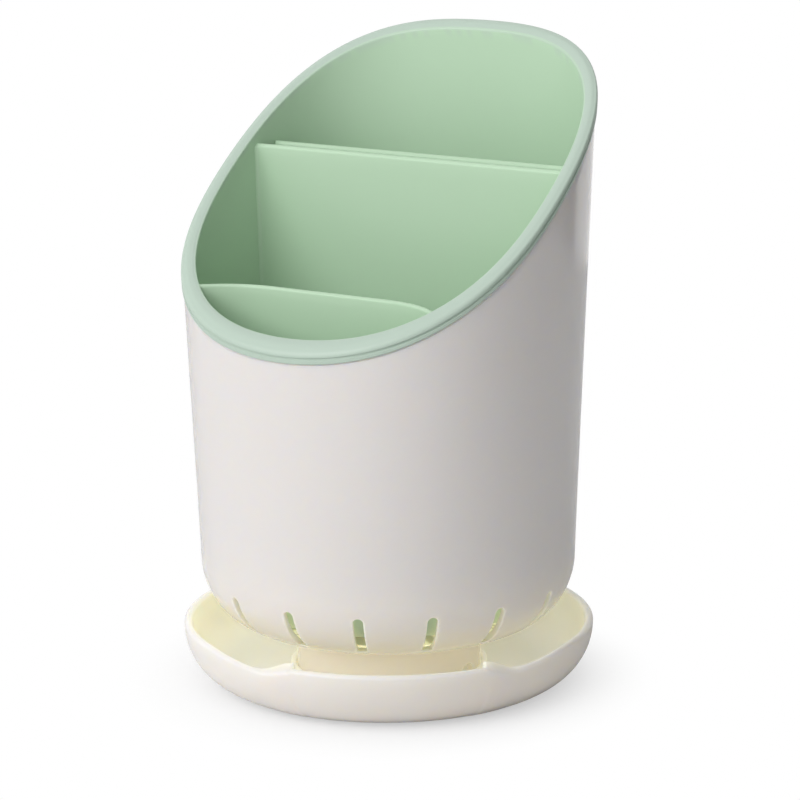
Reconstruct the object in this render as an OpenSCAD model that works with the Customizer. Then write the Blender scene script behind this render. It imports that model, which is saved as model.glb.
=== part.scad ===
// Slant-mouthed holder for chopsticks and cutlery, standing in its drip tray.
// Millimetres, +Z up. The origin is the middle of the tray's underside,
// the low side of the mouth faces -Y and the high side faces +Y.

/* [Overall] */
// Height of the whole holder at the back of the rim
total_h = 190.5; // [165:0.5:215]
// Height of the rim at the front
front_h = 109.5; // [95:0.5:130]

/* [Outer body] */
// Radius of the round part of the body, just above its bottom rounding
base_r = 55.6; // [48:0.1:62]
// How much further out the flat sides stand at the top than at the base
side_flare = 2.3; // [0:0.1:5]
// Radius of the plan's four corners at the top of the body
top_corner_r = 46; // [30:0.5:48]
// Thickness of the body's side wall
body_wall = 1.9; // [1.2:0.1:3]
// Thickness of the body's floor
body_floor = 2; // [1.2:0.1:3]
// Height of the body's underside above the table
base_z = 18; // [12:0.5:24]
// How far the bottom rounding reaches inwards
round_in = 18; // [8:0.5:24]
// How far the bottom rounding reaches upwards
round_up = 20; // [10:0.5:26]

/* [Foot ring] */
// Outer radius of the ring that the body stands on
foot_r = 27.4; // [24:0.2:34]
// Thickness of the foot ring
foot_wall = 2.2; // [1.6:0.1:3]
// Number of arches that let water out from under the body
foot_arches = 4; // [2:1:8]
// Width of each arch
arch_w = 8; // [5:0.5:9]
// Height of each arch above the ring's lower edge
arch_h = 4.5; // [4:0.5:8]

/* [Drain slots] */
// Number of drain slots round the body
slot_count = 16; // [8:1:20]
// Width of each slot
slot_w = 3; // [2:0.1:4]
// Height of the upper end of the slots above the table
slot_top_z = 33; // [28:0.5:36]
// Height of the lower end of the slots above the table
slot_low_z = 21; // [20:0.25:25]
// Diameter of the round holes in the body's floor
floor_hole_d = 6; // [3:0.5:9]
// Number of round holes in the body's floor
floor_hole_count = 6; // [3:1:8]
// Radius of the circle that the floor holes lie on
floor_hole_ring_r = 18; // [12:0.5:22]

/* [Inner liner] */
// Clearance between the liner and the body's wall at the top
liner_gap = 0.35; // [0.3:0.05:1]
// How much further the liner stands in from the body at the base than at the top
liner_draft = 1.5; // [0:0.1:3]
// Thickness of the liner's wall
liner_wall = 1.2; // [1:0.1:2.5]
// Thickness of the liner's floor
liner_floor = 1.8; // [1:0.1:3]
// Gap between the liner's floor and the body's floor
under_liner = 3; // [1:0.25:6]
// Thickness of the rim that hangs over the body's edge
lip_t = 2.8; // [2:0.1:5]
// How far the rim stands out past the body's wall
lip_over = 0.5; // [0:0.1:2]
// Gap under the rim, where it seats on the body's edge
seat_gap = 0.3; // [0.2:0.05:0.6]

/* [Compartments] */
// Height of the level top edges of the two tall partitions
plate_top_z = 154.6; // [140:0.1:156]
// Thickness of the tall partitions
plate_t = 2.4; // [1.6:0.1:3]
// Distance from the middle back to the rear face of the fixed partition
fixed_y = 14; // [4:0.1:16]
// Clear width of the narrow slot between the two partitions
knife_gap = 4.6; // [4.4:0.1:7]
// Height of the front pocket's wall
pocket_top_z = 121.6; // [112:0.1:124]
// Distance from the middle forward to the rear face of the pocket's wall
pocket_y = 30; // [25:0.5:34]
// Half length of the straight middle of the pocket's wall
pocket_straight = 19.5; // [10:0.5:24]
// Radius of the pocket wall's forward-turned ends
pocket_end_r = 29; // [22:0.25:40]
// Thickness of the pocket's wall
pocket_t = 2; // [1.4:0.1:3]
// Width of the drain slots in the liner's floor
grid_slot_w = 2.4; // [1.6:0.1:3.5]
// Distance between the drain slots in the liner's floor
grid_pitch = 8; // [6:0.5:12]

/* [Lift-out divider] */
// Clearance round the divider's edges and faces
divider_gap = 0.35; // [0.3:0.05:0.8]
// How far the guide ribs stand in from the liner's wall
rib_reach = 3; // [2:0.25:5]
// Thickness of the guide ribs
rib_t = 1.4; // [1:0.1:2]
// Height of the guide ribs' upper ends
rib_top_z = 142; // [100:1:148]

/* [Drip tray] */
// Outer radius of the tray's rim
tray_r = 61.1; // [60.5:0.1:70]
// Height of the tray's rim
tray_h = 18.2; // [14:0.1:19.5]
// Radius of the flat face that the tray stands on
tray_foot_r = 45; // [38:0.5:50]
// Thickness of the tray's wall
tray_wall = 2.4; // [1.6:0.1:3]
// Thickness of the tray's floor
tray_floor = 2.4; // [1.6:0.1:3]
// Number of pouring dips round the rim
dip_count = 4; // [2:1:6]
// Depth of each dip
dip_depth = 1.8; // [0.5:0.1:3]
// Half the width of each dip along the rim
dip_half_w = 14.5; // [8:0.5:20]
// How far the tray is turned from the body's front
tray_turn = -13; // [-45:1:45]
// Clearance between the foot ring and the low ring that centres it
centre_gap = 0.5; // [0.3:0.1:1.5]
// Height of the centring ring above the tray's floor
centre_h = 2; // [1:0.25:4]
// Thickness of the centring ring
centre_t = 1.6; // [1:0.1:2.5]

/* [Hidden] */
side_fn = 80;
fine_fn = 48;
arc_steps = 6;
sliver = 0.01;
reach = 200;

// Height where the bottom rounding ends and the straight side begins
side_z = base_z + round_up;
// Radius of the flat part of the body's underside
flat_r = base_r - round_in;
// Height where every tapered form is closed, above the rim
form_top_z = total_h + 10;
// The tray's floor carries the foot ring
stand_z = tray_floor;
// Insets from the body's outer skin
liner_outer = body_wall + liner_gap;
liner_inner = liner_outer + liner_wall;
// Levels of the liner's floor
liner_base_z = base_z + body_floor + under_liner;
liner_floor_z = liner_base_z + liner_floor;
// Rear and front faces of the tall partitions
divider_front_y = fixed_y + knife_gap;
divider_rear_y = divider_front_y + plate_t;

// Half the body's width across the flats at height z
function half_at(z) = base_r + side_flare * (z - side_z) / (total_h - side_z);
// Radius of the body's plan corners at height z
function corner_at(z) = base_r + (top_corner_r - base_r) * (z - side_z) / (total_h - side_z);

// The mouth is one flat slanted cut from the front of the rim to its back
mouth_tilt = atan((total_h - front_h) / (half_at(total_h) + half_at(front_h) + 2 * lip_over));
mouth_mid_z = front_h + (half_at(front_h) + lip_over) * tan(mouth_tilt);

// A square with corner radius r and half width w
module rounded_square(w, r) {
    square([2 * w, 2 * (w - r)], center = true);
    square([2 * (w - r), 2 * w], center = true);
    for (sx = [-1, 1], sy = [-1, 1])
        translate([sx * (w - r), sy * (w - r)]) circle(r = r, $fn = side_fn);
}

// Points of a quarter ellipse that turns from level to upright
function quarter(r0, z0, a, b) =
    [for (i = [0:arc_steps]) [r0 + a * sin(90 * i / arc_steps), z0 + b * (1 - cos(90 * i / arc_steps))]];

// The tapered form: a round bowl that grows into a rounded square,
// set in from the body's skin by inset at the top, by draft more
// at the base, and standing on floor_z
module form(inset, floor_z, draft = 0) {
    top_inset = inset - draft * (form_top_z - total_h) / (total_h - side_z);
    hull() {
        rotate_extrude($fn = side_fn)
            polygon(concat([[0, side_z], [0, floor_z]],
                quarter(flat_r, floor_z, round_in - inset - draft, side_z - floor_z)));
        translate([0, 0, form_top_z])
            linear_extrude(sliver)
                rounded_square(half_at(form_top_z) - top_inset, corner_at(form_top_z) - top_inset);
    }
}

// Everything under the mouth's plane, lowered by drop along its own normal,
// to the given depth
module under_mouth(drop, depth = 2 * reach) {
    translate([0, 0, mouth_mid_z])
        rotate([mouth_tilt, 0, 0])
            translate([-reach, -reach, -depth - drop])
                cube([2 * reach, 2 * reach, depth]);
}

// Outline of an upright slot with a round upper end, drawn in the YZ plane
// and carried outwards from the axis between two radii
module upright_slot(width, low_z, high_z, r_from, r_to) {
    translate([r_from, 0, 0])
        rotate([90, 0, 90])
            linear_extrude(r_to - r_from)
                union() {
                    translate([-width / 2, low_z]) square([width, high_z - width / 2 - low_z]);
                    translate([0, high_z - width / 2]) circle(d = width, $fn = fine_fn);
                }
}

// Ring with arches that carries the body and lets water run out
module foot_ring() {
    difference() {
        translate([0, 0, stand_z])
            cylinder(r = foot_r, h = base_z + body_floor / 2 - stand_z, $fn = side_fn);
        translate([0, 0, stand_z - 1])
            cylinder(r = foot_r - foot_wall, h = base_z + body_floor - stand_z + 1, $fn = side_fn);
        for (i = [0:foot_arches - 1])
            rotate([0, 0, i * 360 / foot_arches])
                upright_slot(arch_w, stand_z - 1, stand_z + arch_h, foot_r / 2, foot_r + 1);
    }
}

module outer_body() {
    color([0.93, 0.92, 0.90])
    difference() {
        union() {
            difference() {
                intersection() {
                    form(0, base_z);
                    under_mouth(lip_t + seat_gap);
                }
                form(body_wall, base_z + body_floor);
            }
            foot_ring();
        }
        for (i = [0:slot_count - 1])
            rotate([0, 0, -90 + i * 360 / slot_count])
                upright_slot(slot_w, slot_low_z, slot_top_z, flat_r, base_r + 1);
        for (i = [0:floor_hole_count - 1])
            rotate([0, 0, i * 360 / floor_hole_count])
                translate([floor_hole_ring_r, 0, base_z - 1])
                    cylinder(d = floor_hole_d, h = body_floor + 2, $fn = fine_fn);
    }
}

// Plan of the front pocket's wall: a straight middle with ends turned forward
module pocket_plan(grow) {
    translate([-pocket_straight, -pocket_y - pocket_end_r]) circle(r = pocket_end_r + grow, $fn = side_fn);
    translate([pocket_straight, -pocket_y - pocket_end_r]) circle(r = pocket_end_r + grow, $fn = side_fn);
    translate([-pocket_straight, -pocket_y - pocket_end_r])
        square([2 * pocket_straight, pocket_end_r + grow]);
}

module pocket_wall() {
    linear_extrude(pocket_top_z)
        difference() {
            pocket_plan(0);
            pocket_plan(-pocket_t);
            translate([-reach, -reach - pocket_y - pocket_end_r]) square([2 * reach, reach]);
        }
}

// The walls that stay standing inside the liner
module partitions() {
    translate([-reach, fixed_y - plate_t, 0])
        cube([2 * reach, plate_t, plate_top_z]);
    pocket_wall();
}

// Two pairs of upright ribs that hold the divider's ends
module guide_ribs() {
    intersection() {
        difference() {
            form(liner_inner - sliver, liner_floor_z - sliver, liner_draft);
            form(liner_inner + rib_reach, liner_floor_z - 2 * sliver, liner_draft);
        }
        union()
            for (y = [divider_front_y - divider_gap - rib_t, divider_rear_y + divider_gap])
                translate([-reach, y, 0]) cube([2 * reach, rib_t, rib_top_z]);
    }
}

// Rows of slots through the liner's floor, kept clear of the walls above
module floor_grid() {
    rows = floor((flat_r - grid_slot_w) / grid_pitch);
    intersection() {
        translate([0, 0, liner_base_z - 1])
            cylinder(r = flat_r - grid_slot_w, h = liner_floor + 2, $fn = side_fn);
        difference() {
            for (i = [-rows:rows])
                translate([i * grid_pitch - grid_slot_w / 2, -reach, 0]) cube([grid_slot_w, 2 * reach, reach]);
            for (y = [fixed_y - plate_t / 2, divider_front_y + plate_t / 2, -pocket_y - pocket_t])
                translate([-reach, y - 3, 0]) cube([2 * reach, 6, reach]);
        }
    }
}

module inner_liner() {
    color([0.72, 0.85, 0.74])
    difference() {
        union() {
            intersection() {
                form(-lip_over, base_z);
                under_mouth(0, lip_t);
            }
            intersection() {
                form(liner_outer, liner_base_z, liner_draft);
                under_mouth(lip_t / 2);
            }
        }
        difference() {
            form(liner_inner, liner_floor_z, liner_draft);
            partitions();
            guide_ribs();
        }
        floor_grid();
    }
}

module divider_plate() {
    color([0.68, 0.83, 0.70])
    intersection() {
        form(liner_inner + divider_gap, liner_floor_z + divider_gap, liner_draft);
        translate([-reach, divider_front_y, 0]) cube([2 * reach, plate_t, plate_top_z]);
    }
}

// Half section of the tray: a dish with a rounded rim
module tray_section() {
    rim_r = tray_wall / 2;
    inner_a = tray_r - tray_wall - (tray_foot_r - tray_wall);
    difference() {
        union() {
            polygon(concat([[0, 0]],
                quarter(tray_foot_r, 0, tray_r - tray_foot_r, tray_h - rim_r),
                [[tray_r - tray_wall, tray_h - rim_r]], [[0, tray_h - rim_r]]));
            translate([tray_r - rim_r, tray_h - rim_r]) circle(r = rim_r, $fn = fine_fn);
        }
        polygon(concat([[-1, tray_floor]],
            quarter(tray_foot_r - tray_wall, tray_floor, inner_a, tray_h - rim_r - tray_floor),
            [[-1, tray_h - rim_r + sliver]]));
    }
}

module drip_tray() {
    dip_r = (dip_half_w * dip_half_w + dip_depth * dip_depth) / (2 * dip_depth);
    color([0.95, 0.94, 0.88])
    difference() {
        union() {
            rotate_extrude($fn = side_fn) tray_section();
            difference() {
                cylinder(r = foot_r + centre_gap + centre_t, h = tray_floor + centre_h, $fn = side_fn);
                translate([0, 0, tray_floor]) cylinder(r = foot_r + centre_gap, h = centre_h + 1, $fn = side_fn);
            }
        }
        for (i = [0:dip_count - 1])
            rotate([0, 0, tray_turn + i * 360 / dip_count])
                translate([tray_foot_r, 0, tray_h - dip_depth + dip_r])
                    rotate([0, 90, 0]) cylinder(r = dip_r, h = tray_r - tray_foot_r + 5, $fn = side_fn);
    }
}

drip_tray();
outer_body();
inner_liner();
divider_plate();
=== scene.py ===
# A slant-mouthed holder for chopsticks and cutlery in its drip tray: the finished surfaces.
# Sizes are in millimetres, and become metres where points go into a mesh.
import math

import bmesh
import bpy
import numpy as np
from mathutils import Matrix


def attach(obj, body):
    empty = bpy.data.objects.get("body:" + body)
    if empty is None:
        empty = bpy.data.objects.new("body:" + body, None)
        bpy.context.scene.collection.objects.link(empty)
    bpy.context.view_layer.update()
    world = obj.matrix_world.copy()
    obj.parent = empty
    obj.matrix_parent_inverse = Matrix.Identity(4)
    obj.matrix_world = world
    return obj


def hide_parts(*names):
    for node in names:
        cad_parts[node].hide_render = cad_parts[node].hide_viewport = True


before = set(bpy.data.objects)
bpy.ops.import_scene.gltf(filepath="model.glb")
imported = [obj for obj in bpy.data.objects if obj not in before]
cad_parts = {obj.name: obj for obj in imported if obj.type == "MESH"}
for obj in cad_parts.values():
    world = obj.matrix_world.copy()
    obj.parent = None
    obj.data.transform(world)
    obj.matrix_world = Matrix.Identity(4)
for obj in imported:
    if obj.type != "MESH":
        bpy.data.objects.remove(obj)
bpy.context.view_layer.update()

# The photograph's view. A long lens looks a little down on the low side of the mouth from the
# right, and its frame sits a little off the middle of the picture.
MM = 0.001
VIEW_TURN = 31.73
VIEW_RISE = 12.81
VIEW_ROLL = -0.45
VIEW_DISTANCE = 979.7
VIEW_TARGET_Z = 95
LENS_PIXELS = 3327.8
PICTURE_PIXELS = 800
AXIS_PIXEL = (386.7, 363.0)
SENSOR = 36
VIEW_REACH = 50000


def aim_camera():
    """The lens looks along the view line at the target, with its up side rolled about that line."""
    turn, rise, roll = np.radians([VIEW_TURN, VIEW_RISE, VIEW_ROLL])
    back = np.array([math.sin(turn) * math.cos(rise), -math.cos(turn) * math.cos(rise), math.sin(rise)])
    level = np.array([math.cos(turn), math.sin(turn), 0])
    upright = np.cross(back, level)
    right = math.cos(roll) * level + math.sin(roll) * upright
    up = np.cross(back, right)
    place = (back * VIEW_DISTANCE + np.array([0, 0, VIEW_TARGET_Z])) * MM
    lens = bpy.data.cameras.new("view")
    lens.sensor_width = SENSOR
    lens.lens = LENS_PIXELS / PICTURE_PIXELS * SENSOR
    lens.shift_x = (PICTURE_PIXELS / 2 - AXIS_PIXEL[0]) / PICTURE_PIXELS
    lens.shift_y = (AXIS_PIXEL[1] - PICTURE_PIXELS / 2) / PICTURE_PIXELS
    lens.clip_end = VIEW_REACH * MM
    camera = bpy.data.objects.new("view", lens)
    camera.matrix_world = Matrix(
        [[right[i], up[i], back[i], place[i]] for i in range(3)] + [[0, 0, 0, 1]]
    )
    bpy.context.scene.collection.objects.link(camera)
    bpy.context.scene.camera = camera


aim_camera()

# The table and the light: a small pale table in a white surround, a broad soft lamp at the front
# left, a weaker one overhead, and a studio that darkens towards its right rear.
TABLE_HALF = 620
TABLE_DROP = 0.1
TABLE_COLOUR = (0.84, 0.84, 0.84, 1)
TABLE_FADE_FROM = 15
TABLE_FADE_TO = 82
WHITE = (1, 1, 1, 1)
DOME_LEVEL = 0.66
GLOSS_LEVEL = 1.0
DARK_FROM = math.radians(-40)
DARK_FULL = math.radians(20)
DARK_END = math.radians(74)
DARK_END_BLUR = math.radians(4)
DARK_SHARE = 0.98
LAMPS = [
    # name, turn from -Y, rise, distance, size, power
    ("front_lamp", -18, 32, 1500, 1100, 10.8),
    ("top_lamp", 10, 78, 1300, 900, 2.4),
]


class Wire:
    """One output in a node tree. Adding to it, multiplying it or taking it from a number adds
    a Math node."""

    def __init__(self, shader, socket):
        self.shader = shader
        self.socket = socket

    def _math(self, operation, first, second):
        return self.shader.node("Math", {"operation": operation}, {0: first, 1: second})

    def __add__(self, other):
        return self._math("ADD", self, other)

    def __rsub__(self, other):
        return self._math("SUBTRACT", other, self)

    def __mul__(self, other):
        return self._math("MULTIPLY", self, other)

    __radd__ = __add__
    __rmul__ = __mul__


class Shader:
    """Writes one node tree: node() makes a node, its settings first and then its sockets."""

    def __init__(self, owner):
        owner.use_nodes = True
        self.owner = owner
        self.tree = owner.node_tree
        self.tree.nodes.clear()

    def node(self, kind, settings=(), sockets=(), output=0):
        made = self.tree.nodes.new("ShaderNode" + kind)
        for name, value in dict(settings).items():
            setattr(made, name, value)
        for key, value in dict(sockets).items():
            socket = made.inputs[key]
            if isinstance(value, Wire):
                self.tree.links.new(value.socket, socket)
            else:
                socket.default_value = value
        return Wire(self, made.outputs[output])

    def finish(self, surface):
        """The tree's output, which takes this surface."""
        kind = "World" if isinstance(self.owner, bpy.types.World) else "Material"
        end = self.tree.nodes.new("ShaderNodeOutput" + kind)
        self.tree.links.new(surface.socket, end.inputs["Surface"])

    def blend(self, share, first, second):
        """Colour that goes from first to second as share goes from 0 to 1."""
        settings = {"data_type": "RGBA"}
        return self.node("Mix", settings, {"Factor": share, "A": first, "B": second}, "Result")


def lay_table():
    """A level square. The lens sees it shaded near the object and plain white further out, so
    that it runs into the surround without an edge."""
    corners = np.array([[-1, -1, 0], [1, -1, 0], [1, 1, 0], [-1, 1, 0]]) * TABLE_HALF * MM
    corners[:, 2] = -TABLE_DROP * MM
    mesh = bpy.data.meshes.new("table")
    mesh.from_pydata(corners.tolist(), [], [(0, 1, 2, 3)])
    table = bpy.data.objects.new("table", mesh)
    bpy.context.scene.collection.objects.link(table)
    finish = bpy.data.materials.new("table_white")
    mesh.materials.append(finish)
    shader = Shader(finish)
    lens = shader.node("LightPath", output="Is Camera Ray")
    place = shader.node("TexCoord", output="Object")
    reach = shader.node("VectorMath", {"operation": "LENGTH"}, {0: place}, "Value")
    fade = {"Value": reach, "From Min": TABLE_FADE_FROM * MM, "From Max": TABLE_FADE_TO * MM}
    far = shader.node("MapRange", {"interpolation_type": "SMOOTHSTEP"}, fade)
    plain = shader.node("BsdfDiffuse", (), {"Color": TABLE_COLOUR})
    glow = shader.node("Emission", (), {"Color": WHITE})
    shader.finish(shader.node("MixShader", (), {0: lens * far, 1: plain, 2: glow}))


def light_studio():
    """The surround is white to the lens. To the object it is a dome that dims, by the turn about
    the upright axis, towards the right rear and is bright again just past it."""
    world = bpy.data.worlds.new("studio")
    bpy.context.scene.world = world
    shader = Shader(world)
    lens = shader.node("LightPath", output="Is Camera Ray")
    gloss = shader.node("LightPath", output="Is Glossy Ray")
    facing = shader.node("TexCoord", output="Generated")
    east = shader.node("SeparateXYZ", (), {0: facing}, "X")
    north = shader.node("SeparateXYZ", (), {0: facing}, "Y")
    turn = shader.node("Math", {"operation": "ARCTAN2"}, {0: north, 1: east})
    rise = {"Value": turn, "From Min": DARK_FROM, "From Max": DARK_FULL}
    fall = {"Value": turn, "From Min": DARK_END, "From Max": DARK_END + DARK_END_BLUR}
    dark = shader.node("MapRange", {"interpolation_type": "SMOOTHSTEP"}, rise)
    past = shader.node("MapRange", {"interpolation_type": "SMOOTHSTEP"}, fall)
    level = gloss * (GLOSS_LEVEL - DOME_LEVEL) + DOME_LEVEL
    seen = level * (1 - dark * (1 - past) * DARK_SHARE)
    strength = lens + (1 - lens) * seen
    shader.finish(shader.node("Background", (), {"Color": WHITE, "Strength": strength}))


def hang_lamps():
    """Square soft lamps on a sphere round the object, each facing its middle."""
    for name, turn, rise, distance, size, power in LAMPS:
        light = bpy.data.lights.new(name, "AREA")
        light.energy = power
        light.size = size * MM
        lamp = bpy.data.objects.new(name, light)
        turn, rise = math.radians(turn), math.radians(rise)
        way = np.array([math.sin(turn) * math.cos(rise), -math.cos(turn) * math.cos(rise), math.sin(rise)])
        side = np.array([math.cos(turn), math.sin(turn), 0])
        top = np.cross(way, side)
        place = (way * distance + np.array([0, 0, VIEW_TARGET_Z])) * MM
        lamp.matrix_world = Matrix(
            [[side[i], top[i], way[i], place[i]] for i in range(3)] + [[0, 0, 0, 1]]
        )
        bpy.context.scene.collection.objects.link(lamp)


lay_table()
light_studio()
hang_lamps()
bpy.context.scene.view_settings.view_transform = "Standard"

# Drip tray: one moulding in glossy cream-white plastic, a dish with a rounded rim. Four broad
# dips in the rim pour it out, and a low ring on its floor centres the body's foot.
TRAY_R = 61.1
TRAY_H = 18.2
TRAY_FOOT_R = 45
TRAY_WALL = 2.4
TRAY_FLOOR = 2.4
TRAY_TURN = -58.3
CENTRE_IN_R = 27.9
CENTRE_OUT_R = 29.5
CENTRE_TOP = 4.4
CENTRE_ROUND = 0.5
UNDERSIDE_RINGS = (0, 20, 40)
FLOOR_RINGS = (CENTRE_OUT_R + 6, CENTRE_OUT_R + 1.2, CENTRE_OUT_R)
MIDDLE_RINGS = (CENTRE_IN_R, CENTRE_IN_R - 1.2, 12, 0)
# The rim's dips and the shoulders beside them: places in degrees from the front or rear middle
DIP_AT = 38.5
DIP_DEPTH = 1.8
SHOULDER_AT = 28.3
SHOULDER_RISE = 1.0
SHOULDER_EDGE = 0.7
DIP_END = 62
SPOUT_FULL = 31
SPOUT_END = 42
SPOUT_HALF = 2.5
SPOUT_CROWN = 2.4
# The spout's edge from outside in, as shares of its width and of its crown
SLANT_AT = (0, 0.08, 0.72, 0.9, 1)
SLANT_RISE = (0, 0.28, 0.96, 0.9, 0)
TRAY_COLUMNS = 600
TRAY_ROWS = 28
RIM_ROWS = 19
# Span across the rim over which the inside's painted warm shade and glow set in.
RIM_PAINTED_SPAN = (-0.2, 1.1)
WELD_WITHIN = 0.002
SLIVER_UNDER = 0.0005
SHARP_OVER = 38
TRAY_OUTSIDE = (0.80, 0.765, 0.745, 1)
# The inside's cream is painted warm shade, standing for light bounced in its hollow.
TRAY_PAINTED_WARM_SHADE = (0.90, 0.88, 0.74, 1)
TRAY_DRIFT = (0.76, 0.74, 0.62, 1)
# The tray's inside emits this colour: a painted glow, with no lamp there.
TRAY_PAINTED_GLOW = (0.168, 0.163, 0.128, 1)
TRAY_ROUGH = 0.22
TRAY_GLOW = 6.0
GLOW_SPREAD = (1.0, 0.85, 0.6)
PLASTIC_IOR = 1.47
BLACK = (0, 0, 0, 1)
CLOUD_SCALE = 45.0
CLOUD_DRIFT = 0.08
CLOUD_ROUGH = 0.06
RIPPLE_SCALE = 900.0
RIPPLE_STRENGTH = 0.03
RIPPLE_DEPTH = 0.4


class Surface:
    """Grids of points in millimetres, gathered into one closed mesh in metres."""

    def __init__(self):
        self.points = []
        self.faces = []
        self.painted_light_shares = []
        self.painted_glows = []
        self.count = 0

    def grid(self, points, wrap=False, painted_light_share=0.0, painted_glow=0.0):
        """A face between each four neighbours of a rows x columns x 3 array, with two shares at each
        point: of a second colour, painted light or shade, and of a painted glow, emitted with no lamp."""
        rows, columns = points.shape[:2]
        index = np.arange(rows * columns).reshape(rows, columns) + self.count
        if wrap:
            index = np.concatenate([index, index[:, :1]], axis=1)
        quads = np.stack([index[:-1, :-1], index[:-1, 1:], index[1:, 1:], index[1:, :-1]], axis=-1)
        self.faces.extend(quads.reshape(-1, 4).tolist())
        self.points.append(points.reshape(-1, 3))
        self.painted_light_shares.append(np.broadcast_to(painted_light_share, (rows, columns)).reshape(-1))
        self.painted_glows.append(np.broadcast_to(painted_glow, (rows, columns)).reshape(-1))
        self.count += rows * columns

    def loose(self, points, faces, painted_glow=0.0):
        """Points and faces worked out elsewhere."""
        self.faces.extend((np.array(face) + self.count).tolist() for face in faces)
        self.points.append(points)
        self.painted_light_shares.append(np.zeros(len(points)))
        self.painted_glows.append(np.full(len(points), painted_glow))
        self.count += len(points)

    def piece(self, name, material):
        """The welded mesh as an object, outside out, smooth but for its sharp edges."""
        mesh = bpy.data.meshes.new(name)
        mesh.from_pydata((np.concatenate(self.points) * MM).tolist(), [], self.faces)
        for kind, shares in (("painted_light_share", self.painted_light_shares), ("painted_glow", self.painted_glows)):
            attribute = mesh.attributes.new(kind, "FLOAT", "POINT")
            attribute.data.foreach_set("value", np.concatenate(shares).astype(np.float32))
        work = bmesh.new()
        work.from_mesh(mesh)
        bmesh.ops.remove_doubles(work, verts=work.verts, dist=WELD_WITHIN * MM)
        bmesh.ops.dissolve_degenerate(work, edges=work.edges, dist=SLIVER_UNDER * MM)
        bmesh.ops.recalc_face_normals(work, faces=work.faces)
        work.to_mesh(mesh)
        work.free()
        mesh.polygons.foreach_set("use_smooth", np.ones(len(mesh.polygons), bool))
        mesh.set_sharp_from_angle(angle=math.radians(SHARP_OVER))
        mesh.materials.append(material)
        piece = bpy.data.objects.new(name, mesh)
        bpy.context.scene.collection.objects.link(piece)
        return piece


def ease(value):
    """0 to 1 with level ends: 3v^2 - 2v^3."""
    value = np.clip(value, 0, 1)
    return value * value * (3 - 2 * value)


def polar(angle, radius, z):
    """Points from turn, radius and height, which may be arrays that broadcast."""
    angle, radius, z = np.broadcast_arrays(angle, radius, z)
    return np.stack([radius * np.cos(angle), radius * np.sin(angle), z], axis=-1)


def dish_section(half, crown, slope):
    """Half section of the dish as radius, height and share of the inside's painted warm shade
    and glow: flat foot, quarter ellipse up the outside, over the rim, quarter ellipse down the
    inside, level floor with the centring ring. Over the rim it is a half ellipse or, as slope
    goes to 1, a slant that climbs inwards and then falls."""
    base = TRAY_H - crown
    turn = np.linspace(0, math.pi / 2, TRAY_ROWS)
    over = np.linspace(0, math.pi, RIM_ROWS + 2)[1:-1]
    slant = np.interp((1 - np.cos(over)) / 2, SLANT_AT, SLANT_RISE)
    height = (1 - slope) * np.sin(over) + slope * slant
    inner_r = TRAY_R - 2 * half
    inner_foot = TRAY_FOOT_R - TRAY_WALL
    bend = np.linspace(0, math.pi / 2, 5)
    ring_mid = CENTRE_TOP - CENTRE_ROUND
    parts = [
        (UNDERSIDE_RINGS, 0, 0),
        (TRAY_FOOT_R + (TRAY_R - TRAY_FOOT_R) * np.sin(turn), base * (1 - np.cos(turn)), 0),
        (TRAY_R - half + half * np.cos(over),
         base + crown * height,
         ease(np.linspace(*RIM_PAINTED_SPAN, RIM_ROWS))),
        (inner_foot + (inner_r - inner_foot) * np.sin(turn[::-1]),
         TRAY_FLOOR + (base - TRAY_FLOOR) * (1 - np.cos(turn[::-1])),
         1),
        (FLOOR_RINGS, TRAY_FLOOR, 1),
        (CENTRE_OUT_R - CENTRE_ROUND + CENTRE_ROUND * np.cos(bend),
         ring_mid + CENTRE_ROUND * np.sin(bend),
         1),
        (CENTRE_IN_R + CENTRE_ROUND - CENTRE_ROUND * np.sin(bend),
         ring_mid + CENTRE_ROUND * np.cos(bend),
         1),
        (MIDDLE_RINGS, TRAY_FLOOR, 1),
    ]
    filled = [np.broadcast_arrays(*part) for part in parts]
    return [np.concatenate(values) for values in zip(*filled)]


def rim_wave(angle):
    """Rise of the rim over its plain height, and how far it is a spout, by the angle from the
    tray's front or rear middle: a shoulder, then a dip, then level again."""
    fall = ease((angle - SHOULDER_AT) / (DIP_AT - SHOULDER_AT))
    climb = ease((angle - DIP_AT) / (DIP_END - DIP_AT))
    before = SHOULDER_RISE - (SHOULDER_RISE + DIP_DEPTH) * fall
    rise = np.where(angle < DIP_AT, before, -DIP_DEPTH * (1 - climb))
    into = ease((angle - SHOULDER_AT) / SHOULDER_EDGE + 1)
    out = ease((angle - SPOUT_FULL) / (SPOUT_END - SPOUT_FULL))
    return rise * into, into * (1 - out)


def drip_tray():
    """The section carried round: each column blends the plain and the spout section."""
    turn = np.linspace(0, 2 * math.pi, TRAY_COLUMNS, endpoint=False)
    folded = np.degrees(np.abs((turn + math.pi / 2) % math.pi - math.pi / 2))
    rise, share = rim_wave(folded)
    plain = dish_section(TRAY_WALL / 2, TRAY_WALL / 2, 0)
    spout = dish_section(SPOUT_HALF, SPOUT_CROWN, 1)
    r, z = (a[:, None] + (b - a)[:, None] * share for a, b in zip(plain[:2], spout[:2]))
    # Share of the painted warm shade and of the painted glow: 0 outside, 1 inside.
    painted_inside = plain[2][:, None]
    z = z + rise * ease((z - CENTRE_TOP) / (TRAY_H - CENTRE_TOP))
    surface = Surface()
    surface.grid(polar(turn + math.radians(TRAY_TURN), r, z), wrap=True, painted_light_share=painted_inside, painted_glow=painted_inside)
    return surface.piece("tray_dish", tray_plastic())


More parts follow.
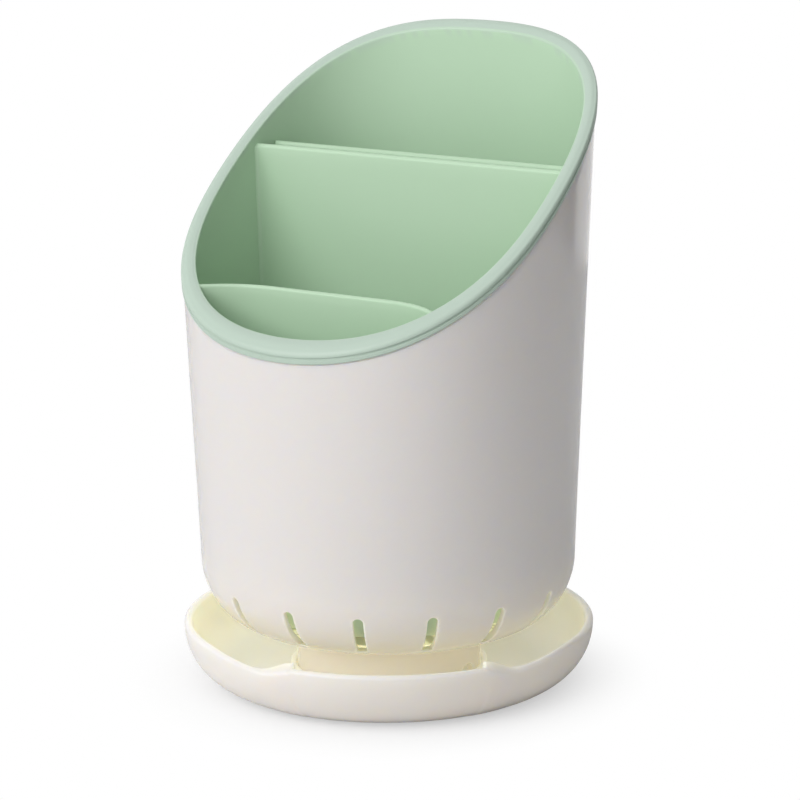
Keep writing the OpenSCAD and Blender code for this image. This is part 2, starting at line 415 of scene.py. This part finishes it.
def moulded_plastic(name, tones, drift, rough, painted_glow=None, depth=0):
    """Moulded plastic in one tone, or in two mixed by the mesh's share of a painted light or shade
    colour, that drifts a little towards another colour in slow clouds. The roughness varies with
    them, and a fine ripple stands for the mould's surface. With a painted glow colour, light sinks
    in by about the depth in millimetres, and the wall emits a painted glow in that colour, light
    with no lamp there, as far as the mesh's painted glow share says."""
    finish = bpy.data.materials.new(name)
    shader = Shader(finish)
    place = shader.node("TexCoord", output="Object")
    clouds = shader.node("TexNoise", (), {"Vector": place, "Scale": CLOUD_SCALE, "Detail": 2.0})
    ripple = shader.node("TexNoise", (), {"Vector": place, "Scale": RIPPLE_SCALE, "Detail": 1.0})
    relief = {"Height": ripple, "Strength": RIPPLE_STRENGTH, "Distance": RIPPLE_DEPTH * MM}
    tone = tones[0]
    if len(tones) > 1:
        # The second tone, by the mesh's share, is painted light or painted shade.
        painted_light_share = shader.node("Attribute", {"attribute_name": "painted_light_share"}, (), "Fac")
        tone = shader.blend(painted_light_share, *tones)
    sockets = {
        "Base Color": shader.blend(clouds * CLOUD_DRIFT, tone, drift),
        "Roughness": clouds * CLOUD_ROUGH + rough,
        "Normal": shader.node("Bump", (), relief),
        "IOR": PLASTIC_IOR,
    }
    if painted_glow:
        # Painted glow: emission by the mesh's share, light where there is no lamp.
        through = shader.node("Attribute", {"attribute_name": "painted_glow"}, (), "Fac")
        sockets["Emission Color"] = shader.blend(through, BLACK, painted_glow)
        sockets["Emission Strength"] = 1.0
        sockets["Subsurface Weight"] = 1.0
        sockets["Subsurface Radius"] = GLOW_SPREAD
        sockets["Subsurface Scale"] = depth * MM
    shader.finish(shader.node("BsdfPrincipled", {"subsurface_method": "RANDOM_WALK"}, sockets))
    return finish


def tray_plastic():
    """Glossy cream-white, with a creamier colour painted inside as its warm shade, and a painted glow
    there.
    """
    tones = (TRAY_OUTSIDE, TRAY_PAINTED_WARM_SHADE)
    return moulded_plastic("cream_gloss", tones, TRAY_DRIFT, TRAY_ROUGH, TRAY_PAINTED_GLOW, TRAY_GLOW)


tray = drip_tray()
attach(tray, "tray")
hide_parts("drip_tray")

# Outer body: one moulding in glossy warm-white plastic. Its plan is round at the foot and grows
# into a rounded square at the slanted mouth; sixteen slots run round its bottom rounding.
TOTAL_H = 190.5
FRONT_H = 109.5
BASE_R = 55.6
TOP_FLAT = 57.9
TOP_CORNER = 62.8
BODY_WALL = 1.9
BODY_FLOOR = 2
BASE_Z = 18
ROUND_IN = 18
ROUND_UP = 20
FLAT_R = BASE_R - ROUND_IN
SIDE_Z = BASE_Z + ROUND_UP
LIP_T = 2.8
LIP_OVER = 0.5
SEAT_GAP = 0.3
BODY_LIP_ROUND = 0.6
SLOT_COUNT = 16
SLOT_W = 3
SLOT_LOW = 21
SLOT_TOP = 33
SLOT_EDGE = 0.35
SECTOR = math.pi / SLOT_COUNT
SECTOR_STEPS = 12
SIDE_STEPS = 16
SKIN_ROWS = 9
SKIN_CROWD = 1.25
COLUMNS = SLOT_COUNT * SECTOR_STEPS
BODY_ROWS = 48
MOUTH_ROUNDS = 12
ON_EDGE = 0.01
FOOT_R = 27.4
FOOT_WALL = 2.2
ARCH_W = 8
ARCH_H = 4.5
ARCH_COUNT = 4
ARCH_FROM = 10
ARCH_PAST = 5
FOOT_FILLET = 0.8
FOOT_EDGE = 0.3
CUT_PAST = 1
FLOOR_HOLES = 6
FLOOR_HOLE_R = 3
FLOOR_HOLE_RING = 18
FLOOR_HOLE_STEPS = 32
BODY_TONE = (0.79, 0.75, 0.73, 1)
BODY_DRIFT = (0.73, 0.70, 0.68, 1)
BODY_ROUGH = 0.09
BODY_GLOW = 3.0
# Painted glow that the body emits: fully on its hidden inner skin at the slots, to light the liner, and
# weakly on its underside, slot walls, foot and floor.
BODY_PAINTED_GLOW = (0.54, 0.49, 0.30, 1)
UNDERSIDE_PAINTED_GLOW = 0.085
SLOT_PAINTED_GLOW = 0.12
FOOT_PAINTED_GLOW = 0.20


def flat_at(z):
    """Half width across the flats: in a line from the base radius to the top's."""
    return BASE_R + (TOP_FLAT - BASE_R) * (z - SIDE_Z) / (TOTAL_H - SIDE_Z)


MOUTH_SLOPE = (TOTAL_H - FRONT_H) / (flat_at(TOTAL_H) + flat_at(FRONT_H) + 2 * LIP_OVER)
MOUTH_MID = FRONT_H + (flat_at(FRONT_H) + LIP_OVER) * MOUTH_SLOPE
MOUTH_COS = 1 / math.hypot(1, MOUTH_SLOPE)


def side_radius(angle, z, inset, draft=0):
    """Radius of the side at a height: the mean of flat and corner less their half difference
    times the cosine of four times the angle, less the inset, which grows by draft from the top
    to the base."""
    flat = flat_at(z)
    corner = BASE_R + (TOP_CORNER - BASE_R) * (z - SIDE_Z) / (TOTAL_H - SIDE_Z)
    inset = inset + draft * (TOTAL_H - z) / (TOTAL_H - SIDE_Z)
    return (flat + corner) / 2 - (corner - flat) / 2 * np.cos(4 * angle) - inset


def mouth_z(angle, inset, drop, draft=0):
    """Height where the side, set in by inset, meets the mouth's plane lowered by drop along its
    own normal, found by rounds of putting the last height into the side's radius."""
    z = np.full(np.broadcast(angle, inset, drop).shape, float(MOUTH_MID))
    for _ in range(MOUTH_ROUNDS):
        reach = side_radius(angle, z, inset, draft) * np.sin(angle)
        z = MOUTH_MID + MOUTH_SLOPE * reach - drop / MOUTH_COS
    return z


def side_rows(angle, inset, drop, rows, draft=0):
    """The side from the top of the bottom rounding up to the lowered mouth."""
    top = mouth_z(angle, inset, drop, draft)
    z = SIDE_Z + np.linspace(0, 1, rows)[:, None] * (top - SIDE_Z)
    return polar(angle, side_radius(angle, z, inset, draft), z)


def rim_rows(angle, inset, drop, draft=0):
    """The side's points on the lowered mouth, a row for each inset, drop and draft."""
    inset, drop, draft = np.broadcast_arrays(inset, drop, draft)
    inset, drop, draft = inset[:, None], drop[:, None], draft[:, None]
    z = mouth_z(angle, inset, drop, draft)
    return polar(angle, side_radius(angle, z, inset, draft), z)


def bowl(angle, turn, inset, floor_z):
    """The bottom rounding: a quarter ellipse from level at turn 0 to upright at a right angle."""
    radius = FLAT_R + (ROUND_IN - inset) * np.sin(turn)
    return polar(angle, radius, floor_z + (SIDE_Z - floor_z) * (1 - np.cos(turn)))


def around():
    """Angles of the columns, with a slot's middle at the front."""
    return -math.pi / 2 - SECTOR + np.arange(COLUMNS) * 2 * math.pi / COLUMNS


def slot_outline(grow):
    """One slot's outline as offset and height, grown by grow: along the lower end, up the right
    side, over the round upper end and down the left side."""
    half = SLOT_W / 2 + grow
    low = SLOT_LOW - grow
    high = SLOT_TOP - SLOT_W / 2
    across = np.linspace(-half, half, SECTOR_STEPS, endpoint=False)
    up = np.linspace(low, high, SIDE_STEPS, endpoint=False)
    over = np.linspace(0, math.pi, SECTOR_STEPS, endpoint=False)
    side = np.full(SIDE_STEPS, half)
    end = np.full(SECTOR_STEPS, low)
    offset = np.concatenate([across, side, half * np.cos(over), -side])
    height = np.concatenate([end, up, high + half * np.sin(over), high - up + low])
    return offset, height


def slot_on_wall(grow, through):
    """A slot's outline on the wall as turn about the axis and turn of the rounding, where
    through goes from 0 at the outer skin to 1 at the inner."""
    offset, height = slot_outline(grow)
    floor_z = BASE_Z + BODY_FLOOR * through
    turn = np.arccos(np.clip(1 - (height - floor_z) / (SIDE_Z - floor_z), -1, 1))
    radius = FLAT_R + (ROUND_IN - BODY_WALL * through) * np.sin(turn)
    return np.arcsin(offset / radius), turn


def sector_border():
    """The edge of one slot's sector, point for point beside the slot's outline."""
    across = np.linspace(-SECTOR, SECTOR, SECTOR_STEPS, endpoint=False)
    up = np.linspace(0, math.pi / 2, SIDE_STEPS, endpoint=False)
    side = np.full(SIDE_STEPS, SECTOR)
    angle = np.concatenate([across, side, -across, -side])
    top = np.full(SECTOR_STEPS, math.pi / 2)
    turn = np.concatenate([np.zeros(SECTOR_STEPS), up, top, math.pi / 2 - up])
    return angle, turn


def slotted_rounding(surface):
    """The bottom rounding with its slots: in each sector the skins run in straight blends, their
    rows crowded at the slot, from its outline to the sector's border, and the slot's walls join
    the two skins."""
    border = sector_border()
    rows = np.linspace(0, 1, SKIN_ROWS)[:, None] ** SKIN_CROWD
    bend = np.linspace(0, math.pi / 2, 4)
    edge = SLOT_EDGE / BODY_WALL
    grows = np.concatenate([SLOT_EDGE * (1 - np.sin(bend)), SLOT_EDGE * (1 - np.cos(bend))])
    depths = np.concatenate([edge * (1 - np.cos(bend)), 1 - edge * (1 - np.sin(bend))])
    for sector in range(SLOT_COUNT):
        middle = -math.pi / 2 + 2 * SECTOR * sector
        for through in (0, 1):
            hole = slot_on_wall(SLOT_EDGE, through)
            angle = hole[0] + (border[0] - hole[0]) * rows
            turn = hole[1] + (border[1] - hole[1]) * rows
            skin = bowl(middle + angle, turn, BODY_WALL * through, BASE_Z + BODY_FLOOR * through)
            # Painted glow: full on the hidden inner skin as a light for the liner, weak on the outer skin
            # and fading up the rounding.
            painted_glow = 1 if through else UNDERSIDE_PAINTED_GLOW * (1 - ease(turn / (math.pi / 2)))
            surface.grid(skin, wrap=True, painted_glow=painted_glow)
        wall = [slot_on_wall(grow, depth) for grow, depth in zip(grows, depths)]
        points = np.stack([
            bowl(middle + angle, turn, BODY_WALL * depth, BASE_Z + BODY_FLOOR * depth)
            for (angle, turn), depth in zip(wall, depths)
        ])
        surface.grid(points, wrap=True, painted_glow=SLOT_PAINTED_GLOW)


def carved(solid, tools):
    """Points and faces of one surface's solid with the tools' solids cut away."""
    body = solid.piece("carve_body", None)
    knife = tools.piece("carve_tools", None)
    cut = body.modifiers.new("cut", "BOOLEAN")
    cut.operation = "DIFFERENCE"
    cut.solver = "EXACT"
    cut.object = knife
    result = body.evaluated_get(bpy.context.evaluated_depsgraph_get()).to_mesh()
    points = np.empty(len(result.vertices) * 3, np.float32)
    result.vertices.foreach_get("co", points)
    faces = [list(face.vertices) for face in result.polygons]
    for item in (body, knife):
        mesh = item.data
        bpy.data.objects.remove(item)
        bpy.data.meshes.remove(mesh)
    return points.reshape(-1, 3).astype(float) / MM, faces


def without_edge(points, faces, radius):
    """The faces less those that stand on the circle of that radius, to be welded there."""
    reach = np.hypot(points[:, 0], points[:, 1])
    return [face for face in faces if reach[face].min() < radius - ON_EDGE]


def prism(outline, low, high, place):
    """Grid of a closed bar with a two-dimensional outline, which place turns into points."""
    ring = np.concatenate([outline, outline[:1]])
    middle = outline.mean(axis=0)
    rows = [(middle, low), (ring, low), (ring, high), (middle, high)]
    return np.stack([place(np.broadcast_to(flat, ring.shape), level) for flat, level in rows])


def upright(flat, level):
    """An outline in plan, at a height."""
    return np.concatenate([flat, np.full((len(flat), 1), float(level))], axis=-1)


def foot_and_floor():
    """The level floor and the ring under it: a revolved solid, with round drain holes and the
    ring's arches cut away."""
    angle = around()
    ring_in = FOOT_R - FOOT_WALL
    low = TRAY_FLOOR
    section = [(0, BASE_Z + BODY_FLOOR), (FLAT_R, BASE_Z + BODY_FLOOR), (FLAT_R, BASE_Z),
               (FOOT_R + FOOT_FILLET, BASE_Z), (FOOT_R, BASE_Z - FOOT_FILLET),
               (FOOT_R, low + FOOT_EDGE), (FOOT_R - FOOT_EDGE, low),
               (ring_in + FOOT_EDGE, low), (ring_in, low + FOOT_EDGE), (ring_in, BASE_Z), (0, BASE_Z)]
    solid = Surface()
    radius, z = np.array(section, float).T[:, :, None]
    solid.grid(polar(angle, radius, z), wrap=True)
    tools = Surface()
    turn = np.linspace(0, 2 * math.pi, FLOOR_HOLE_STEPS, endpoint=False)
    circle = FLOOR_HOLE_R * np.stack([np.cos(turn), np.sin(turn)], axis=-1)
    for i in range(FLOOR_HOLES):
        turn = 2 * math.pi * i / FLOOR_HOLES
        centre = FLOOR_HOLE_RING * np.array([math.cos(turn), math.sin(turn)])
        hole = circle + centre
        tools.grid(prism(hole, BASE_Z - CUT_PAST, BASE_Z + BODY_FLOOR + CUT_PAST, upright))
    over = np.linspace(0, math.pi, 25)
    half = ARCH_W / 2
    arch = np.stack([half * np.cos(over), low + ARCH_H - half + half * np.sin(over)], axis=-1)
    arch = np.concatenate([arch, [[-half, low - CUT_PAST], [half, low - CUT_PAST]]])
    for i in range(ARCH_COUNT):
        turn = 2 * math.pi / ARCH_COUNT * i
        out = np.array([math.cos(turn), math.sin(turn)])
        side = np.array([-math.sin(turn), math.cos(turn)])

        def stand(flat, level, out=out, side=side):
            return np.concatenate([out * level + side * flat[:, :1], flat[:, 1:]], axis=-1)

        tools.grid(prism(arch, ARCH_FROM, FOOT_R + ARCH_PAST, stand))
    points, faces = carved(solid, tools)
    return points, without_edge(points, faces, FLAT_R)


def outer_body():
    """Outer side, rounded lip and inner side on one set of columns, then the slotted rounding
    and the floor with its foot."""
    angle = around()
    top = LIP_T + SEAT_GAP
    edge = BODY_LIP_ROUND
    bend = np.linspace(0, math.pi / 2, 6)
    lip_inset = np.concatenate([edge * (1 - np.cos(bend)), BODY_WALL - edge * (1 - np.sin(bend))])
    lip_drop = np.concatenate([top + edge * (1 - np.sin(bend)), top + edge * (1 - np.cos(bend))])
    surface = Surface()
    surface.grid(side_rows(angle, 0, top + edge, BODY_ROWS), wrap=True)
    surface.grid(rim_rows(angle, lip_inset, lip_drop), wrap=True)
    surface.grid(side_rows(angle, BODY_WALL, top + edge, BODY_ROWS), wrap=True)
    slotted_rounding(surface)
    # The foot and floor emit a weak painted glow.
    surface.loose(*foot_and_floor(), painted_glow=FOOT_PAINTED_GLOW)
    return surface.piece("body_shell_white", body_plastic())


def body_plastic():
    """Warm white, glossy, with a painted glow where the mesh marks it."""
    return moulded_plastic("white_gloss", (BODY_TONE,), BODY_DRIFT, BODY_ROUGH, BODY_PAINTED_GLOW, BODY_GLOW)


body = outer_body()
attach(body, "body_shell")
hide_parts("outer_body")

# Inner liner: one moulding in satin mint-green plastic that hangs by its broad rim. A tall
# partition, a low pocket wall and the divider's guide ribs stand up from its slotted floor.
LINER_GAP = 0.35
LINER_WALL = 1.2
LINER_DRAFT = 1.5
LINER_OUT = BODY_WALL + LINER_GAP
LINER_IN = LINER_OUT + LINER_WALL
LINER_BASE = 23
LINER_FLOOR = 24.8
LINER_ROWS = 60
BOWL_ROWS = 24
RIM_ROUND = 0.9
RIM_INNER_ROUND = 0.5
RIM_UNDER_ROUND = 0.35
RIM_CROWN = 0.3
# Share of the painted grey on the rim's inner rounding.
RIM_EDGE_PAINTED_SHARE = 0.5
RIM_GROOVE_AT = 1.45
RIM_GROOVE_HALF = 0.35
RIM_GROOVE_DEEP = 0.5
FIXED_Y = 12.8
PLATE_T = 2.4
PLATE_TOP = 154.6
PLATE_CROWN = 0.9
PLATE_ROWS = 40
PLATE_COLUMNS = 73
PATH_REACH = 62
PATH_STEPS = 500
WALL_BURY = 0.6
FLOOR_BURY = 0.5
WALL_FILLET = 0.7
RIB_FILLET = 0.4
POCKET_Y = 31
POCKET_STRAIGHT = 19.5
POCKET_END_R = 28
POCKET_T = 2
POCKET_TOP = 121.6
RIB_T = 1.4
RIB_REACH = 3
RIB_TOP = 142
RIB_COLUMNS = 12
DIVIDER_Y = 19.8
DIVIDER_GAP = 0.35
GRID_W = 2.4
GRID_PITCH = 8
GRID_EDGE_R = 35.2
GRID_DISC_R = 36.4
GRID_CLEAR = 3
LINER_TONE = (0.485, 0.667, 0.478, 1)
# A greyer mint painted on the rim as its sheen, and on the outer skin's bottom as the warm light seen
# through the body's slots.
LINER_PAINTED_GREY = (0.462, 0.568, 0.489, 1)
LINER_DRIFT = (0.45, 0.62, 0.46, 1)
LINER_ROUGH = 0.34


def wall_radius(angle, z):
    """Radius of the inner skin at any height: the side above, the bottom rounding below."""
    turn = np.arccos(np.clip(1 - (z - LINER_FLOOR) / (SIDE_Z - LINER_FLOOR), 0, 1))
    low = FLAT_R + (ROUND_IN - LINER_IN - LINER_DRAFT) * np.sin(turn)
    return np.where(z > SIDE_Z, side_radius(angle, z, LINER_IN, LINER_DRAFT), low)


def straight_path(y):
    """A path along X at that y, with its rear normal."""
    def path(s):
        return np.stack([s, np.full_like(s, y)], axis=-1), np.stack([0 * s, 1 + 0 * s], axis=-1)
    return path


def pocket_path(s):
    """Straight in the middle, with each end turned forward on an arc; with its rear normal."""
    turn = np.maximum(np.abs(s) - POCKET_STRAIGHT, 0) / POCKET_END_R
    x = np.clip(s, -POCKET_STRAIGHT, POCKET_STRAIGHT) + np.sign(s) * POCKET_END_R * np.sin(turn)
    y = -POCKET_Y - POCKET_END_R * (1 - np.cos(turn))
    return np.stack([x, y], axis=-1), np.stack([np.sign(s) * np.sin(turn), np.cos(turn)], axis=-1)


def reach_along(path, z, bury):
    """How far along the path, from its middle, it is past the wall by bury at each height: the
    first sample past it, with a straight line between samples."""
    s = np.linspace(0, PATH_REACH, PATH_STEPS)
    place, _ = path(s)
    radius = np.hypot(place[:, 0], place[:, 1])
    spare = wall_radius(np.arctan2(place[:, 1], place[:, 0]), z[:, None]) + bury - radius
    last = np.clip((spare > 0).sum(axis=1) - 1, 0, len(s) - 2)
    gap = spare[np.arange(len(z)), last]
    after = spare[np.arange(len(z)), last + 1]
    return s[last] + (s[1] - s[0]) * gap / (gap - after)


def upright_plate(surface, path, thickness, low, top, bury, fillet, rib=0):
    """A standing plate whose top edge is rounded: its section, up one face, over and down the
    other, is carried along the path from wall to wall, or for a rib, on the side -1 or 1, from
    that wall as far as it reaches. The ends go into the wall by bury and flare there by a
    fillet, or, with a fillet below 0, they end in a rounded edge of that depth."""
    crown = thickness / 2 * PLATE_CROWN
    levels = low + (top - crown - low) * np.linspace(0, 1, PLATE_ROWS)
    over = np.linspace(0, math.pi, 13)[1:-1]
    face = np.ones(PLATE_ROWS)
    z = np.concatenate([levels, top - crown + crown * np.sin(over), levels[::-1]])
    offset = thickness / 2 * np.concatenate([face, np.cos(over), -face])[:, None]
    end = reach_along(path, z, bury)[:, None]
    if rib:
        s = rib * (end - RIB_REACH - bury + (RIB_REACH + bury) * np.linspace(0, 1, RIB_COLUMNS))
    else:
        s = np.sin(np.linspace(-math.pi / 2, math.pi / 2, PLATE_COLUMNS)) * end
    left = end - np.abs(s)
    if fillet >= 0:
        near = np.clip(1 - (left - bury) / fillet, 0, 1)
        flare = fillet * (1 - np.sqrt(1 - near ** 2))
        half = offset + np.sign(offset) * flare * (np.abs(offset) > thickness / 2.2)
    else:
        near = np.clip(1 + left / fillet, 0, 1)
        half = offset * np.sqrt(1 - near ** 2)
    place, normal = path(s)
    flat = place + normal * half[:, :, None]
    points = np.concatenate([flat, np.broadcast_to(z[:, None, None], s.shape + (1,))], axis=-1)
    surface.grid(np.concatenate([points, points[:1]]))
    rows = len(z) // 2 + 1
    for column in (0, -1):
        surface.grid(np.stack([points[:rows, column], points[::-1][:rows, column]]))


def slotted_floor():
    """The liner's level floor: a disc with rows of slots cut away, none under a wall."""
    angle = around()
    radius = np.array([0.0, GRID_DISC_R, GRID_DISC_R, 0.0])[:, None]
    z = np.array([LINER_FLOOR, LINER_FLOOR, LINER_BASE, LINER_BASE])[:, None]
    solid = Surface()
    solid.grid(polar(angle, radius, z), wrap=True)
    walls = [-POCKET_Y, FIXED_Y, DIVIDER_Y]
    tools = Surface()
    rows = int((GRID_EDGE_R - GRID_W) // GRID_PITCH)
    for i in range(-rows, rows + 1):
        x = i * GRID_PITCH
        end = math.sqrt(GRID_EDGE_R ** 2 - (abs(x) + GRID_W / 2) ** 2)
        stops = [-end] + [y + side * GRID_CLEAR for y in walls for side in (-1, 1)] + [end]
        stops = np.clip(stops, -end, end)
        for low, high in zip(stops[::2], stops[1::2]):
            if high - low < 2 * GRID_W:
                continue
            turn = np.linspace(0, math.pi, 9)
            ring = GRID_W / 2 * np.stack([np.cos(turn), np.sin(turn)], axis=-1)
            outline = np.concatenate([ring + [x, high - GRID_W / 2], [x, low + GRID_W / 2] - ring])
            tools.grid(prism(outline, LINER_BASE - CUT_PAST, LINER_FLOOR + CUT_PAST, upright))
    points, faces = carved(solid, tools)
    return points, without_edge(points, faces, GRID_DISC_R)


def inner_liner():
    """Side and bottom rounding in two skins that the rim joins, then floor, plates and ribs."""
    angle = around()
    bend = np.linspace(0, math.pi / 2, 7)
    over = RIM_ROUND
    inner = RIM_INNER_ROUND
    along = np.linspace(0, 1, 12)[1:-1]
    dip = np.linspace(0, math.pi, 7)
    under = RIM_UNDER_ROUND
    rim_inset = np.concatenate([
        LINER_IN - inner * (1 - np.cos(bend)),
        LINER_IN - inner + (over - LIP_OVER - LINER_IN + inner) * along,
        -LIP_OVER + over * (1 - np.sin(bend)),
        -LIP_OVER + RIM_GROOVE_DEEP * np.sin(dip),
        -LIP_OVER + under * (1 - np.cos(bend)),
        [LINER_OUT],
    ])
    rim_drop = np.concatenate([
        inner * (1 - np.sin(bend)),
        -RIM_CROWN * np.sin(math.pi * along),
        over * (1 - np.cos(bend)),
        RIM_GROOVE_AT - RIM_GROOVE_HALF * np.cos(dip),
        LIP_T - under * (1 - np.sin(bend)),
        [LIP_T],
    ])
    turn = np.linspace(0, math.pi / 2, BOWL_ROWS)[:, None]
    surface = Surface()
    wall_share = np.where(rim_inset > LINER_OUT - 0.1, 1.0, 0.0)
    surface.grid(side_rows(angle, LINER_IN, inner, LINER_ROWS, LINER_DRAFT), wrap=True)
    rim = rim_rows(angle, rim_inset, rim_drop, LINER_DRAFT * wall_share)
    # The rim is painted greyer for its sheen, its inner rounding half as much.
    edge_painted_share = np.where(rim_inset > LINER_IN - inner + ON_EDGE, RIM_EDGE_PAINTED_SHARE, 1)
    surface.grid(rim, wrap=True, painted_light_share=edge_painted_share[:, None])
    surface.grid(side_rows(angle, LINER_OUT, LIP_T, LINER_ROWS, LINER_DRAFT), wrap=True)
    # The outer skin's bottom, seen through the slots, is painted greyer for the light there.
    slot_painted_light = 1 - (turn / (math.pi / 2)) ** 3
    for inset, floor_z, painted_light_share in ((LINER_IN, LINER_FLOOR, 0), (LINER_OUT, LINER_BASE, slot_painted_light)):
        surface.grid(bowl(angle, turn, inset + LINER_DRAFT, floor_z), wrap=True, painted_light_share=painted_light_share)
        edge = np.array([FLAT_R, GRID_DISC_R])[:, None]
        surface.grid(polar(angle, edge, floor_z), wrap=True)
    surface.loose(*slotted_floor())
    foot = LINER_FLOOR - FLOOR_BURY
    fixed = straight_path(FIXED_Y)
    upright_plate(surface, fixed, PLATE_T, foot, PLATE_TOP, WALL_BURY, WALL_FILLET)
    upright_plate(surface, pocket_path, POCKET_T, foot, POCKET_TOP, WALL_BURY, WALL_FILLET)
    aside = PLATE_T / 2 + DIVIDER_GAP + RIB_T / 2
    for y in (DIVIDER_Y - aside, DIVIDER_Y + aside):
        for side in (-1, 1):
            guide = straight_path(y)
            upright_plate(surface, guide, RIB_T, foot, RIB_TOP, WALL_BURY, RIB_FILLET, rib=side)
    return surface.piece("liner_mint", liner_plastic("mint_satin"))


def liner_plastic(name):
    """Mint green, satin, with a greyer tone painted on the rim for its sheen and on the outer skin's
    bottom for the light seen through the slots.
    """
    return moulded_plastic(name, (LINER_TONE, LINER_PAINTED_GREY), LINER_DRIFT, LINER_ROUGH)


liner = inner_liner()
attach(liner, "liner")
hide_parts("inner_liner")

# Divider plate: a flat moulding in the liner's plastic with rounded side edges. It stands close
# behind the fixed partition, dropped by hand between the liner's guide ribs.
DIVIDER_EDGE = 1.0


def divider_plate():
    """The plate stops short of wall and floor by its clearance."""
    surface = Surface()
    foot = LINER_FLOOR + DIVIDER_GAP
    path = straight_path(DIVIDER_Y)
    upright_plate(surface, path, PLATE_T, foot, PLATE_TOP, -DIVIDER_GAP, -DIVIDER_EDGE)
    return surface.piece("divider_mint", liner_plastic("mint_satin_plate"))


divider = divider_plate()
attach(divider, "divider")
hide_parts("divider_plate")


def plain(corners):
    return [[float(value) for value in corner] for corner in corners]
